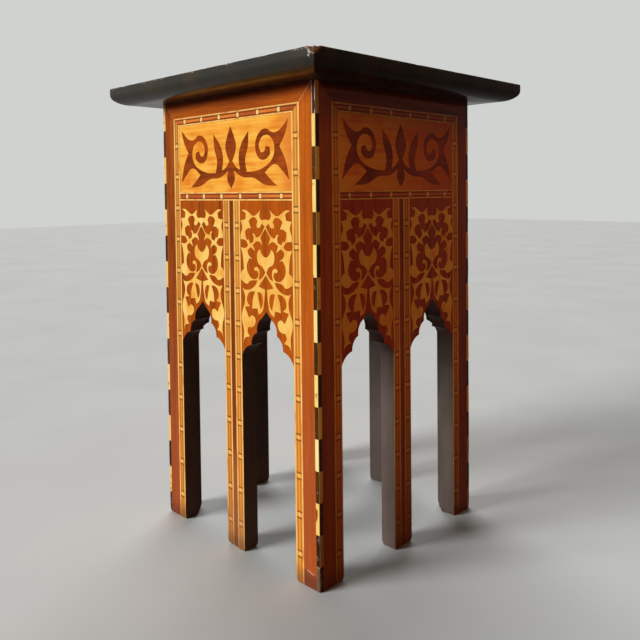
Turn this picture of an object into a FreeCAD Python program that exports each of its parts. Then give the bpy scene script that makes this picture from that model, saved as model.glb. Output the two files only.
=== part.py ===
import FreeCAD, Part
import math
import os

# Square inlaid drinks table. Four boards, each sawn out into two cusped arches, are mitred round
# a post in every corner and veneered outside. A moulded black top is nailed on through cleats.
# Millimetres, +Z up, origin on the floor under the middle of the table. The front faces -Y.

# Driving dimensions
table_height = 530.0
top_width = 360.0
top_thickness = 21.0
body_width = 267.0
board_thickness = 18.0
veneer_thickness = 1.2
foot_gap = 0.5
cut_overrun = 5.0

# Moulded edge of the top, and the veneered field let into its upper side
edge_upright = 7.5
edge_ovolo_width = 19.5
edge_arris = 1.2
edge_nose_turn = 50
top_margin = 14.0
top_crossband_width = 26.0

# Veneers of one side, from the arris inwards and from the top downwards
edge_inlay_width = 5.0
edge_block_length = 32.2
crossband_width = 18.0
rail_width = 19.0
string_width = 1.9
banding_width = 7.7
level_string_width = 1.5
level_banding_width = 6.5
frieze_height = 79.5
leg_strip_width = 7.0
ground_sunk = 0.3

# Cusped arches
arch_spring_height = 221.0
arch_rise = 52.5

# Pieces inside
post_width = 8.0
cleat_width = 20.0
cleat_height = 20.0
cleat_gap = 0.3
nail_head_width = 5.0
nail_head_thickness = 1.2
nail_width = 3.2
nail_point_width = 1.4
nail_grip = 12.0
nail_place_share = 0.6

# Places that follow from them
body_height = table_height - top_thickness
half_body = body_width / 2
half_core = half_body - veneer_thickness
half_inside = half_core - board_thickness
band_total = 2 * string_width + banding_width
level_band_total = 2 * level_string_width + level_banding_width
corner_leg_width = edge_inlay_width + crossband_width + band_total
middle_leg_width = 2 * band_total + leg_strip_width
half_arch = (body_width - 2 * corner_leg_width - middle_leg_width) / 4
arch_centre = half_arch + middle_leg_width / 2
rail_foot = body_height - rail_width
frieze_top = rail_foot - level_band_total
frieze_foot = frieze_top - frieze_height
ground_top = frieze_foot - level_band_total
figure_height = ground_top - arch_spring_height
frieze_reach = half_body - corner_leg_width

# Half of an arch, from the apex out to the springing, in shares of half its width and of its
# rise: a straight flank, then three lobes that meet in cusps, each an arc by its middle and its
# end. A lobe is sawn in a few straight cuts.
lobe_cut_count = 5
arch_apex_share = (0, 1)
arch_flank_share = (0.2, 0.845)
arch_lobe_shares = (
    ((0.335, 0.745), (0.38, 0.545)),
    ((0.525, 0.465), (0.61, 0.265)),
    ((0.86, 0.165), (1, 0)),
)

# The arabesque is drawn on squared paper: half the arch's width is 42 squares and the height
# from the springing to the banding is 170. All of it is sawn in short straight cuts.
square_across_share = 1 / 42
square_up_share = 1 / 170

# Its right half from the middle of the knot at the top, round outside, to the crossed stems
border_shares = (
    # knot and horned leaf
    (0, 150), (6.5, 149.5), (9.3, 153.5), (7.5, 160), (12, 156.6), (19, 154.6), (25.5, 156.5),
    (32, 161), (38.8, 159.8), (32.8, 155.5), (32.6, 149.8), (41.3, 148.4),
    # two leaves along the banding
    (38.3, 141), (41.3, 133.5), (41.3, 128), (33, 126), (28.6, 122), (32.5, 118.9), (41.3, 119),
    (38.6, 113), (37.2, 96), (41.3, 91.5), (41.3, 83.5), (31, 79.8), (26, 83.2), (14.8, 84.2),
    # spandrel leaf down to the springing
    (17.5, 79), (34.5, 73), (38.8, 74.8), (36.2, 64.2), (41.2, 43), (38.4, 27), (39.2, 13.5),
    (35.5, 19), (27.8, 22.6),
    # round lobe over the arch
    (30.6, 28), (29.6, 33), (22.5, 33.6), (18.2, 38.5), (18.8, 44), (23.5, 46.4), (29, 43),
    (34.4, 53.8), (26.5, 55.8),
    # lily and its ring
    (30.2, 59.5), (30.2, 65.5), (25.5, 70.3), (18.3, 72.3), (21.8, 64), (23.2, 53.6),
    (14.8, 53.8), (12.6, 48), (6.5, 52), (3, 59), (1.4, 75.8), (12, 78.3), (0, 91.3),
)

# Right half of the wide opening in it, which leaves the tulip and the two hooked scrolls
middle_opening_shares = (
    # stem and leaf tips
    (0, 140.5), (6.7, 130.5), (4.6, 123), (11.5, 125.4), (19, 122.3), (16.8, 115.5), (24, 118.6),
    (28.5, 116), (28.8, 112.2), (21, 106.8),
    # round eye and the scroll that hooks into it
    (26, 107), (30, 102), (30.7, 95), (28, 89.8), (21.5, 86.5), (15, 87.4), (12.9, 91),
    (14.5, 94.2), (17.5, 93.6), (19.3, 97), (15.5, 100.6), (10.2, 97.8), (8.9, 93), (11.3, 86),
    # tulip
    (6.8, 88), (1.6, 94), (5, 99.5), (11.5, 103), (14.1, 110), (12.8, 115.5), (9, 118.6),
    (6, 113.2), (0, 110),
)

# Opening under the horned leaf, and the one beside the lily
upper_opening_shares = (
    (2.3, 142.3), (5.5, 144.6), (9.5, 141.2), (13.8, 141.2), (15, 144.5), (12.3, 147.2),
    (16, 150.3), (22, 150), (26, 147.4), (23, 140), (28, 140.2), (32.3, 136.5), (32.4, 131),
    (30, 128), (27.5, 129.4), (24.7, 124.6), (20.8, 126.5), (20, 131), (22.3, 134.8), (18, 135.5),
    (15, 131), (9.5, 133.3),
)
lily_opening_shares = ((9, 55), (6.5, 60), (6.6, 66.5), (9.5, 70.8), (13.8, 71.8))

# The frieze's dark scroll, on 99 squares across half the frieze and 40 up half its height:
# the right half from the tip of the middle leaf, round by the outer leaves, to the drop below
frieze_across_share = 1 / 99
frieze_up_share = 1 / 40
frieze_scroll_shares = (
    # middle leaf and the stem's upper edge
    (0, 33), (6.2, 21), (9.3, 11), (6.5, 1.5), (2.5, -5.5), (8, -12), (16.5, -16),
    # upright leaf
    (14.2, -4), (17.5, 10), (31, 26), (29.5, 9), (24.8, -5), (27.5, -18.5),
    # spiral, by its inner edge to its round tip
    (44, -17.5), (60, -12.5), (70, -5), (73, 6.5), (68, 16.5), (58, 19.8), (50, 15), (48, 7),
    (51.5, 1.5), (56.5, 2.5), (59.5, 8), (65.5, 6.5), (66, -0.5),
    # back by its outer edge
    (59, -5.5), (48.5, -4.5), (42.8, 5.5), (45.5, 19), (58, 26.5), (71, 21.5),
    # two outer leaves
    (81, 23.5), (94, 34), (89.5, 20), (80.5, 7), (89, -7), (95, -28), (85.5, -19), (73.5, -11.5),
    # stem's lower edge with the leaf under it, and the drop
    (57, -19.5), (64, -25.5), (76, -34), (57, -32.5), (39, -25), (20, -23.5), (4.5, -16),
    (6.5, -25.5), (0, -36),
)

side_turns = {"front": 0, "right": 90, "back": 180, "left": 270}
up = FreeCAD.Vector(0, 0, 1)
middle = FreeCAD.Vector(0, 0, 0)
outer_face = -half_body


def turned(shape, degrees):
    copy = shape.copy()
    copy.rotate(middle, up, degrees)
    return copy


def on_face(x, z):
    """A point of the front's outer face, x to the right and z up from the floor."""
    return FreeCAD.Vector(x, outer_face, z)


def closed_wire(points):
    return Part.makePolygon(points + points[:1])


def plate(wires, setback, thickness):
    """A veneer of the front, outlined by the first wire and pierced by the rest."""
    face = Part.makeFace(wires, "Part::FaceMakerBullseye")
    face.translate(FreeCAD.Vector(0, setback, 0))
    return face.extrude(FreeCAD.Vector(0, thickness, 0))


def straight_plate(x_from, x_to, z_from, z_to):
    corners = [(x_from, z_from), (x_to, z_from), (x_to, z_to), (x_from, z_to)]
    return plate([closed_wire([on_face(x, z) for x, z in corners])], 0, veneer_thickness)


def mirrored(shape):
    return shape.mirror(middle, FreeCAD.Vector(1, 0, 0))


def pair(shape):
    """A piece of the right half of a side and its mirror image."""
    return [shape, mirrored(shape)]


def plan_prism(corners, z_from, z_to):
    """An upright prism over (x, y) corners."""
    base = Part.Face(closed_wire([FreeCAD.Vector(x, y, z_from) for x, y in corners]))
    return base.extrude(up * (z_to - z_from))


def arch_spots():
    """The arch right of the middle leg, from its left springing over the apex to the right."""

    def spot(shares, reach):
        across, rise = shares
        x = arch_centre + reach * across * half_arch
        return on_face(x, arch_spring_height + rise * arch_rise)

    def half(reach):
        spots = [spot(arch_flank_share, reach)]
        for lobe_middle, lobe_end in arch_lobe_shares:
            lobe = Part.Arc(spots[-1], spot(lobe_middle, reach), spot(lobe_end, reach))
            spots += lobe.discretize(lobe_cut_count + 1)[1:]
        return spots

    return half(-1)[::-1] + [spot(arch_apex_share, 1)] + half(1)


def arch_wire(end_height):
    """The arch closed by straight sides that run from its springing to another height."""
    right = on_face(arch_centre + half_arch, end_height)
    left = on_face(arch_centre - half_arch, end_height)
    return closed_wire([left] + arch_spots() + [right])


def core_board():
    """One side's board, mitred to its neighbours, with both arches sawn out down to the floor."""
    corners = [
        (-half_core, -half_core),
        (half_core, -half_core),
        (half_inside, -half_inside),
        (-half_inside, -half_inside),
    ]
    board = plan_prism(corners, 0, body_height)
    sawn_out = plate([arch_wire(-cut_overrun)], -cut_overrun, half_core - half_inside + 2 * cut_overrun)
    return board.cut(pair(sawn_out))


def crossbands():
    """Mahogany stiles and rail, mitred at the top, and the strip down the middle leg."""
    outer = half_body - edge_inlay_width
    inner = outer - crossband_width
    stile = [(outer, foot_gap), (outer, body_height), (inner, rail_foot), (inner, foot_gap)]
    rail = [(outer, body_height), (inner, rail_foot), (-inner, rail_foot), (-outer, body_height)]
    bands = pair(plate([closed_wire([on_face(x, z) for x, z in stile])], 0, veneer_thickness))
    bands.append(plate([closed_wire([on_face(x, z) for x, z in rail])], 0, veneer_thickness))
    half_strip = leg_strip_width / 2
    bands.append(straight_plate(-half_strip, half_strip, foot_gap, ground_top))
    return bands


def strings_and_bandings():
    """Boxwood lines, and the patterned bandings that they edge."""
    outer = half_body - edge_inlay_width - crossband_width
    banding_outer = outer - string_width
    banding_inner = banding_outer - banding_width
    inner = outer - band_total
    level_outer = rail_foot - level_string_width
    level_inner = frieze_top + level_string_width
    lines = pair(straight_plate(banding_outer, outer, foot_gap, rail_foot))
    lines += pair(straight_plate(inner, banding_inner, foot_gap, level_inner))
    lines.append(straight_plate(-banding_outer, banding_outer, level_outer, rail_foot))
    lines.append(straight_plate(-inner, inner, frieze_top, level_inner))
    bandings = pair(straight_plate(banding_inner, banding_outer, foot_gap, level_outer))
    bandings.append(straight_plate(-banding_inner, banding_inner, level_inner, level_outer))
    lower_line = ground_top + level_string_width
    upper_line = frieze_foot - level_string_width
    lines.append(straight_plate(-inner, inner, ground_top, lower_line))
    lines.append(straight_plate(-inner, inner, upper_line, frieze_foot))
    bandings.append(straight_plate(-inner, inner, lower_line, upper_line))
    leg_start = leg_strip_width / 2
    leg_banding = leg_start + string_width
    leg_end = leg_banding + banding_width
    lines += pair(straight_plate(leg_start, leg_banding, foot_gap, ground_top))
    lines += pair(straight_plate(leg_end, leg_end + string_width, foot_gap, ground_top))
    bandings += pair(straight_plate(leg_banding, leg_end, foot_gap, ground_top))
    return lines, bandings


def edge_blocks():
    """Blocks down both arrises, mitred to the next side's. The left column starts light.
    All have one length but the lowest, which takes what is left above the foot."""
    block_count = max(1, round((body_height - foot_gap) / edge_block_length))
    strip_inner = half_body - edge_inlay_width
    corners = [
        (half_body, -half_body),
        (half_core, -half_core),
        (strip_inner, -half_core),
        (strip_inner, -half_body),
    ]
    light = []
    dark = []
    for row in range(block_count):
        top = body_height - row * edge_block_length
        foot = foot_gap if row == block_count - 1 else top - edge_block_length
        right_block = plan_prism(corners, foot, top)
        left_block = mirrored(right_block)
        light.append(right_block if row % 2 else left_block)
        dark.append(left_block if row % 2 else right_block)
    return light, dark


def figure_spots(shares, centre, foot, square_width, square_height):
    """Points of half a figure. A negative width draws the left half."""
    return [on_face(centre + across * square_width, foot + rise * square_height)
            for across, rise in shares]


def figure_wire(shares, centre, foot, square_width, square_height):
    """A closed outline from its right half, whose first and last points lie on the middle line."""
    right = figure_spots(shares, centre, foot, square_width, square_height)
    left = figure_spots(shares[-2:0:-1], centre, foot, -square_width, square_height)
    return closed_wire(right + left)


def arabesque():
    """The fretted light veneer over one arch, laid on the sunk ground."""
    width = square_across_share * half_arch
    height = square_up_share * figure_height
    foot = arch_spring_height
    wires = []
    for shares in (border_shares, middle_opening_shares):
        wires.append(figure_wire(shares, arch_centre, foot, width, height))
    for shares in (upper_opening_shares, lily_opening_shares):
        for reach in (width, -width):
            wires.append(closed_wire(figure_spots(shares, arch_centre, foot, reach, height)))
    return plate(wires, 0, ground_sunk)


def frieze_scroll():
    """The dark scroll of the frieze, laid on its sunk ground."""
    width = frieze_across_share * frieze_reach
    height = frieze_up_share * frieze_height / 2
    level = (frieze_foot + frieze_top) / 2
    return plate([figure_wire(frieze_scroll_shares, 0, level, width, height)], 0, ground_sunk)


def moulded_top():
    """The top board: an upright edge over an ovolo of two arcs, the same on all four sides."""
    half = top_width / 2
    flat = half - edge_ovolo_width
    ovolo_top = table_height - edge_upright
    ovolo_height = ovolo_top - body_height
    shoulder = half - edge_arris
    shoulder_height = table_height - edge_arris
    turn = math.radians(edge_nose_turn)
    back = 1 - math.cos(turn)
    rest = 1 - math.sin(turn)
    belly_radius = edge_ovolo_width - back * ovolo_height / math.sin(turn)
    belly_radius /= math.cos(turn) - back * rest / math.sin(turn)
    nose_radius = (ovolo_height - belly_radius * rest) / math.sin(turn)

    def spot(x, z):
        return FreeCAD.Vector(x, 0, z)

    def nose_spot(angle):
        x = half - nose_radius * (1 - math.cos(angle))
        return spot(x, ovolo_top - nose_radius * math.sin(angle))

    def belly_spot(angle):
        z = body_height + belly_radius * (1 - math.sin(angle))
        return spot(flat + belly_radius * math.cos(angle), z)

    belly_middle = (turn + math.pi / 2) / 2
    upright = [spot(half, ovolo_top), spot(half, shoulder_height), spot(shoulder, table_height)]
    right = Part.makePolygon(upright).Edges
    right.append(Part.Arc(nose_spot(0), nose_spot(turn / 2), nose_spot(turn)).toShape())
    right.append(Part.Arc(nose_spot(turn), belly_spot(belly_middle), spot(flat, body_height)).toShape())
    left = [mirrored(edge) for edge in right]
    across = [
        Part.makeLine(spot(-flat, body_height), spot(flat, body_height)),
        Part.makeLine(spot(-shoulder, table_height), spot(shoulder, table_height)),
    ]
    profile = Part.Wire(Part.__sortEdges__(right + left + across))
    length = FreeCAD.Vector(0, top_width, 0)
    bar = Part.Face(profile).extrude(length)
    bar.translate(-length / 2)
    return bar.common(turned(bar, side_turns["right"]))


def top_frame(outer, width):
    """Four mitred strips of veneer, level with the upper side of the top."""
    inner = outer - width
    corners = [(-outer, -outer), (outer, -outer), (inner, -inner), (-inner, -inner)]
    strip = plan_prism(corners, table_height - veneer_thickness, table_height)
    return [turned(strip, degrees) for degrees in side_turns.values()]


def cut_nail(x, y):
    """A square cut nail, driven up through a cleat into the top."""
    half = nail_width / 2
    half_point = nail_point_width / 2
    half_head = nail_head_width / 2
    length = cleat_height + nail_grip
    shank = Part.makeWedge(
        -half, 0, -half, -half_point, -half_point, half, length, half, half_point, half_point)
    head = Part.makeBox(
        nail_head_width, nail_head_thickness, nail_head_width,
        FreeCAD.Vector(-half_head, -nail_head_thickness, -half_head))
    nail = head.fuse(shank).removeSplitter()
    nail.rotate(middle, FreeCAD.Vector(1, 0, 0), side_turns["right"])
    nail.translate(FreeCAD.Vector(x, y, body_height - cleat_height))
    return nail


def save(name, shapes):
    Part.makeCompound(shapes).exportStep(f"parts/{name}.step")


os.makedirs("parts", exist_ok=True)

# Cleats and nails of one side, then of all four
half_cleat = half_inside - cleat_width - cleat_gap
cleat_corners = [
    (-half_cleat, -half_inside),
    (half_cleat, -half_inside),
    (half_cleat, cleat_width - half_inside),
    (-half_cleat, cleat_width - half_inside),
]
cleat = plan_prism(cleat_corners, body_height - cleat_height, body_height)
nail_row = cleat_width / 2 - half_inside
side_nails = pair(cut_nail(nail_place_share * half_cleat, nail_row))
nails = [turned(nail, degrees) for degrees in side_turns.values() for nail in side_nails]
cleat = cleat.cut(side_nails)

# Top board, with a shallow recess for its veneers
field_reach = top_width / 2 - top_margin
band_reach = field_reach - top_crossband_width
centre_reach = band_reach - band_total
recess_corners = [
    (-field_reach, -field_reach),
    (field_reach, -field_reach),
    (field_reach, field_reach),
    (-field_reach, field_reach),
]
recess = plan_prism(recess_corners, table_height - veneer_thickness, table_height + cut_overrun)
save("top_board", [moulded_top().cut([recess] + nails)])
save("top_crossband", top_frame(field_reach, top_crossband_width))
top_lines = top_frame(band_reach, string_width)
top_lines += top_frame(centre_reach + string_width, string_width)
save("top_stringing", top_lines)
save("top_banding", top_frame(band_reach - string_width, banding_width))
quarter = plan_prism([(-centre_reach, -centre_reach), (centre_reach, -centre_reach), (0, 0)],
                     table_height - veneer_thickness, table_height)
save("top_field_veneer", [turned(quarter, degrees) for degrees in side_turns.values()])
save("top_nails", nails)

# Posts in the corners
post = plan_prism([
    (half_inside - post_width, -half_inside),
    (half_inside, -half_inside),
    (half_inside, post_width - half_inside),
    (half_inside - post_width, post_width - half_inside),
], 0, body_height)

# The four sides
ground_thickness = veneer_thickness - ground_sunk
ground = plate([arch_wire(ground_top)], ground_sunk, ground_thickness)
frieze_corners = [
    on_face(-frieze_reach, frieze_foot),
    on_face(frieze_reach, frieze_foot),
    on_face(frieze_reach, frieze_top),
    on_face(-frieze_reach, frieze_top),
]
frieze = plate([closed_wire(frieze_corners)], ground_sunk, ground_thickness)
lines, bandings = strings_and_bandings()
light_blocks, dark_blocks = edge_blocks()
side_pieces = {
    "core_board": [core_board()],
    "corner_post": [post],
    "cleat": [cleat],
    "crossband": crossbands(),
    "frieze_veneer": [frieze],
    "frieze_inlay": [frieze_scroll()],
    "arch_veneer": pair(ground),
    "arabesque_inlay": pair(arabesque()),
    "stringing": lines,
    "banding": bandings,
    "edge_blocks_light": light_blocks,
    "edge_blocks_dark": dark_blocks,
}
for side, degrees in side_turns.items():
    for name, shapes in side_pieces.items():
        save(f"{name}_{side}", [turned(shape, degrees) for shape in shapes])
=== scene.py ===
import math
import random

import bmesh
import bpy
from mathutils import Matrix, Vector, geometry, noise


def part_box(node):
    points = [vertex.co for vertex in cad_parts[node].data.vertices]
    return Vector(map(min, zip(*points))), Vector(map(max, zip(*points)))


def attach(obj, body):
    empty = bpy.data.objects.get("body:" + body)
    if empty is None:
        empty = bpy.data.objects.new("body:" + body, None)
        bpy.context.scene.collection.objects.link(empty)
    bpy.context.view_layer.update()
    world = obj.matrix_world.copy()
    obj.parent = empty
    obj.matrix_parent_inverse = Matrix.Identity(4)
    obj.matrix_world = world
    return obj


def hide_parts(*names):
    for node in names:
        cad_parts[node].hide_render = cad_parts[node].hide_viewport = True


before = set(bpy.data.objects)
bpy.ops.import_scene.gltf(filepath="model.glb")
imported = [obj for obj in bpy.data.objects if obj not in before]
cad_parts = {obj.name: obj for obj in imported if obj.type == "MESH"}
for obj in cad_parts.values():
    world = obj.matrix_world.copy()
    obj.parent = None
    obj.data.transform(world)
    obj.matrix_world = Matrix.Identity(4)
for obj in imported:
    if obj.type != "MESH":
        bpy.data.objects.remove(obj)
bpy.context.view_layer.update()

# The four boards and their corner posts
# Pine boards sawn out into the arches, mitred together and glued to a square post in each corner.
# Inside and on every sawn edge they are painted black. The feet are worn round and down to the wood.
side_turns = {"front": 0, "right": 90, "back": 180, "left": 270}
grain_step = (317.0, 0.0, 911.0)
# The frame is in metres, and the sizes of the table are in millimetres.
per_metre = 1000


class Tone:
    """A shader socket. Expressions of tones and numbers become Math nodes."""

    def __init__(self, socket):
        self.socket = socket

    def node(self, kind, settings=None, sockets=None, output=0):
        """An output of a new node. Its settings are set first, then its sockets' values or links."""
        tree = self.socket.id_data
        made = tree.nodes.new("ShaderNode" + kind)
        for name, value in (settings or {}).items():
            if name == "stops":
                stops = made.color_ramp.elements
                stops[0].position, stops[0].color = value[0]
                stops[1].position, stops[1].color = value[-1]
                for place, tint in value[1:-1]:
                    stops.new(place).color = tint
            else:
                setattr(made, name, value)
        for name, value in (sockets or {}).items():
            if isinstance(value, Tone):
                tree.links.new(value.socket, made.inputs[name])
            else:
                made.inputs[name].default_value = value
        return Tone(made.outputs[output])

    def math(self, operation, *others):
        return self.node("Math", {"operation": operation}, dict(enumerate((self, *others))))

    def __add__(self, other):
        return self.math("ADD", other)

    __radd__ = __add__

    def __mul__(self, other):
        return self.math("MULTIPLY", other)

    __rmul__ = __mul__

    def __sub__(self, other):
        return self.math("SUBTRACT", other)

    def __rsub__(self, other):
        return self.node("Math", {"operation": "SUBTRACT"}, {0: other, 1: self})

    def __truediv__(self, other):
        return self.math("DIVIDE", other)

    def __rtruediv__(self, other):
        return self.node("Math", {"operation": "DIVIDE"}, {0: other, 1: self})

    def __abs__(self):
        return self.math("ABSOLUTE")

    def least(self, other):
        return self.math("MINIMUM", other)

    def most(self, other):
        return self.math("MAXIMUM", other)

    def above(self, level):
        return self.math("GREATER_THAN", level)

    def rise(self, low, high):
        """0 below low, 1 above high, and a smooth step between."""
        return self.node("MapRange", {"interpolation_type": "SMOOTHSTEP"},
                         {"Value": self, "From Min": low, "From Max": high})

    def mix(self, first, second):
        """The second colour where this tone is 1, the first where it is 0."""
        return self.node("Mix", {"data_type": "RGBA"}, {0: self, 6: first, 7: second}, 2)

    def ramp(self, *stops):
        return self.node("ValToRGB", {"stops": stops}, {"Fac": self})

    def axes(self):
        """The three parts of a vector."""
        parts = self.node("SeparateXYZ", {}, {"Vector": self}).socket.node.outputs
        return Tone(parts[0]), Tone(parts[1]), Tone(parts[2])

    def streaks(self, across, along, detail=4.0, grain="z"):
        """Noise drawn out along the grain: its features are across by along, in millimetres."""
        stretch = {"x": (along, across, across), "z": (across, across, along)}[grain]
        drawn = self.node("VectorMath", {"operation": "DIVIDE"}, {0: self, 1: stretch})
        return self.node("TexNoise", {}, {"Vector": drawn, "Scale": 1.0, "Detail": detail})

    def chance(self):
        """A number from 0 to 1 by chance, another for each value of this tone."""
        return self.node("TexWhiteNoise", {"noise_dimensions": "1D"}, {"W": self})


def shade(red, green, blue):
    """A colour as a painter's chart gives it, 0 to 255, for a socket."""
    return tuple(((part / 255 + 0.055) / 1.055) ** 2.4 for part in (red, green, blue)) + (1.0,)


def finish(name, turn=0, seed=0):
    """A new material, its shader, the place in millimetres with the side turned to the front, and
    the same place moved to another stretch of grain."""
    made = bpy.data.materials.new(name)
    made.use_nodes = True
    nodes = made.node_tree.nodes
    place = Tone(nodes.new("ShaderNodeTexCoord").outputs["Object"])
    place = place.node("Mapping", {}, {"Vector": place, "Rotation": (0, 0, -math.radians(turn)),
                                       "Scale": (per_metre, per_metre, per_metre)})
    moved = place.node("VectorMath", {}, {0: place, 1: [step * seed for step in grain_step]})
    return made, nodes["Principled BSDF"], place, moved


def coat(shader, colour, roughness, relief, depth, polish=0.0, polish_roughness=0.1, specular=0.5):
    """Links what varies to the shader, with a relief so many millimetres deep, and sets the polish."""
    bump = colour.node("Bump", {}, {"Strength": 1.0, "Distance": depth / per_metre, "Height": relief})
    for socket, tone in (("Base Color", colour), ("Roughness", roughness), ("Normal", bump)):
        colour.socket.id_data.links.new(tone.socket, shader.inputs[socket])
    shader.inputs["Coat Weight"].default_value = polish
    shader.inputs["Coat Roughness"].default_value = polish_roughness
    shader.inputs["Specular IOR Level"].default_value = specular


def dress(node, material):
    """The finish of a piece that keeps its CAD shape."""
    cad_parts[node].material_slots[0].material = material


def mesh_data(mesh, name):
    """The worked mesh, ready for a piece."""
    data = bpy.data.meshes.new(name)
    mesh.to_mesh(data)
    mesh.free()
    return data


def set_up(name, data, material, node):
    """A new piece in the place of a CAD node."""
    data.materials.append(material)
    piece = bpy.data.objects.new(name, data)
    bpy.context.scene.collection.objects.link(piece)
    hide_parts(node)
    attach(piece, "root")


edge_low, edge_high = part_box("edge_blocks_light_front")
frieze_low, frieze_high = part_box("frieze_veneer_front")
body_half = edge_high.x * per_metre
board_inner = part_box("corner_post_front")[1].x * per_metre
corner_inner = frieze_high.x * per_metre
leg_half = 15.0
foot_levels = (5.5, 3.4, 1.8, 0.8)
foot_rise = foot_levels[0]
foot_wear = 1.6
wear_roughness, wear_patch = 0.7, 23
left_foot_share, other_foot_share = 1.2, 0.25
cut_snap = 1e-7
foot_digits = 7
knock_fade = (0, 7)


def worn_foot(point):
    """A point of a leg, in millimetres, moved in where years on the floor have rounded the foot.
    The outer sides are worn less, but for the foot at the left corner."""
    if point.z >= foot_rise:
        return point
    rough = 1 + wear_roughness * noise.noise(point / wear_patch)
    wear = foot_wear * (1 - point.z / foot_rise) ** 2 * rough
    outer_wear = wear * (left_foot_share if point.x < 0 and point.y < 0 else other_foot_share)
    moved = point.copy()
    for axis in (0, 1):
        along, other = point[axis], point[1 - axis]
        if min(abs(along), abs(other)) > corner_inner / 2:
            inner, outer = corner_inner, body_half
        elif abs(along) > abs(other):
            inner, outer = board_inner, body_half
        else:
            inner, outer = -leg_half, leg_half
        middle = math.copysign((inner + outer) / 2, along)
        reach = (along - middle) * 2 / (outer - inner)
        moved[axis] -= reach * (outer_wear if inner > 0 and reach * along > 0 else wear)
    return moved


def leg_piece(name, node, material):
    """A piece that runs down the legs: its CAD shape with the feet worn round."""
    mesh = bmesh.new()
    mesh.from_mesh(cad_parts[node].data)
    for level in foot_levels:
        bmesh.ops.bisect_plane(mesh, geom=[*mesh.verts, *mesh.edges, *mesh.faces], dist=cut_snap,
                               plane_co=(0, 0, level / per_metre), plane_no=(0, 0, 1))
    for vert in mesh.verts:
        worn = worn_foot(vert.co * per_metre)
        vert.co = [round(part / per_metre, foot_digits) for part in worn]
    data = mesh_data(mesh, name)
    data.attributes.remove(data.attributes["custom_normal"])
    set_up(name, data, material, node)


# Painted sheen: the black paint is given a mid grey colour, which stands in for the sheen of the light on
# it.
sheen_grey_paint = shade(95, 84, 79)
sheen_grey_paint_rubbed = shade(114, 102, 96)
bare_pine = shade(122, 98, 78)
for seed, (side, turn) in enumerate(side_turns.items()):
    painted, shader, place, moved = finish("black_paint_" + side, turn, seed)
    brushed = moved.streaks(1.6, 70)
    cloudy = moved.streaks(34, 60, 3)
    height = place.axes()[2]
    knocked = (moved.streaks(9, 14, 4) + (1 - height.rise(*knock_fade)) * 0.16).rise(0.72, 0.8)
    rubbed = cloudy.rise(0.35, 0.7) * 0.6 + brushed.rise(0.5, 0.7) * 0.3
    colour = knocked.mix(rubbed.mix(sheen_grey_paint, sheen_grey_paint_rubbed), bare_pine)
    coat(shader, colour, 0.4 + brushed * 0.14 + knocked * 0.25, brushed + cloudy * 0.5, 0.15, specular=0.08)
    leg_piece("board_" + side, "core_board_" + side, painted)
    leg_piece("post_" + side, "corner_post_" + side, painted)

# Cleats and nails under the top
# Square pine battens glued round the inside of the boards, left as they were planed.
# Cut iron nails go up through them into the top, and have rusted brown.
pine_pale = shade(204, 160, 104)
pine_dark = shade(158, 108, 62)
pine_grime = shade(96, 70, 48)
iron_grey = shade(66, 60, 56)
rust_red = shade(104, 52, 28)
rust_dark = shade(62, 34, 22)
for seed, (side, turn) in enumerate(side_turns.items()):
    planed, shader, _, moved = finish("planed_pine_" + side, turn, seed + 7)
    rings = moved.streaks(3.2, 160, 3, "x")
    fibre = moved.streaks(0.7, 26, 5, "x")
    grime = moved.streaks(22, 40, 3, "x")
    colour = (rings.rise(0.42, 0.6) * 0.65 + fibre.rise(0.35, 0.7) * 0.35).mix(pine_pale, pine_dark)
    colour = (grime.rise(0.42, 0.75) * 0.55).mix(colour, pine_grime)
    coat(shader, colour, 0.62 + fibre * 0.2, fibre + rings, 0.2)
    dress("cleat_" + side, planed)
rusted, shader, _, moved = finish("rusted_iron")
pits = moved.streaks(0.9, 0.9, 5)
rust = moved.streaks(3.0, 3.0, 4).rise(0.4, 0.6)
coat(shader, rust.mix(iron_grey, pits.mix(rust_red, rust_dark)), 0.45 + rust * 0.35, pits, 0.2)
bare_iron = (1 - rust) * 0.85
rusted.node_tree.links.new(bare_iron.socket, shader.inputs["Metallic"])
dress("top_nails", rusted)

# Mahogany crossbands
# Thin mahogany glued to the boards: two stiles and a rail, mitred at the top, and a strip down the
# middle leg. The grain runs along each piece, and a painted highlight draws the mitre as a pale line.
string_low, string_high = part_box("stringing_front")
rail_foot = string_high.z * per_metre
rail_top = edge_high.z * per_metre
stile_inner = string_high.x * per_metre
stile_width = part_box("crossband_front")[1].x * per_metre - stile_inner
face_depth = string_low.y * per_metre
leg_strip = leg_half - (stile_inner - corner_inner)
polish_depth = 0.05
stile_fade = (90, 330)
leg_fade = (10, 95)
bright_strip_fade = (80, 135)
under_top_shadow_fade = (rail_top - 11, rail_top - 1)
foot_dirt_fade, foot_dirt_edge = (8, 20), 10
split_height, split_slope = 18.5, 0.21
split_middle, split_ends = 9.5, (3.5, 6.5)
golden_end = {"front": 1, "right": -1, "back": 1, "left": -1}
mahogany_dark = shade(100, 42, 8)
mahogany_red = shade(158, 72, 12)
mahogany_gold = shade(194, 98, 16)
mahogany_pale = shade(214, 126, 40)
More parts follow.
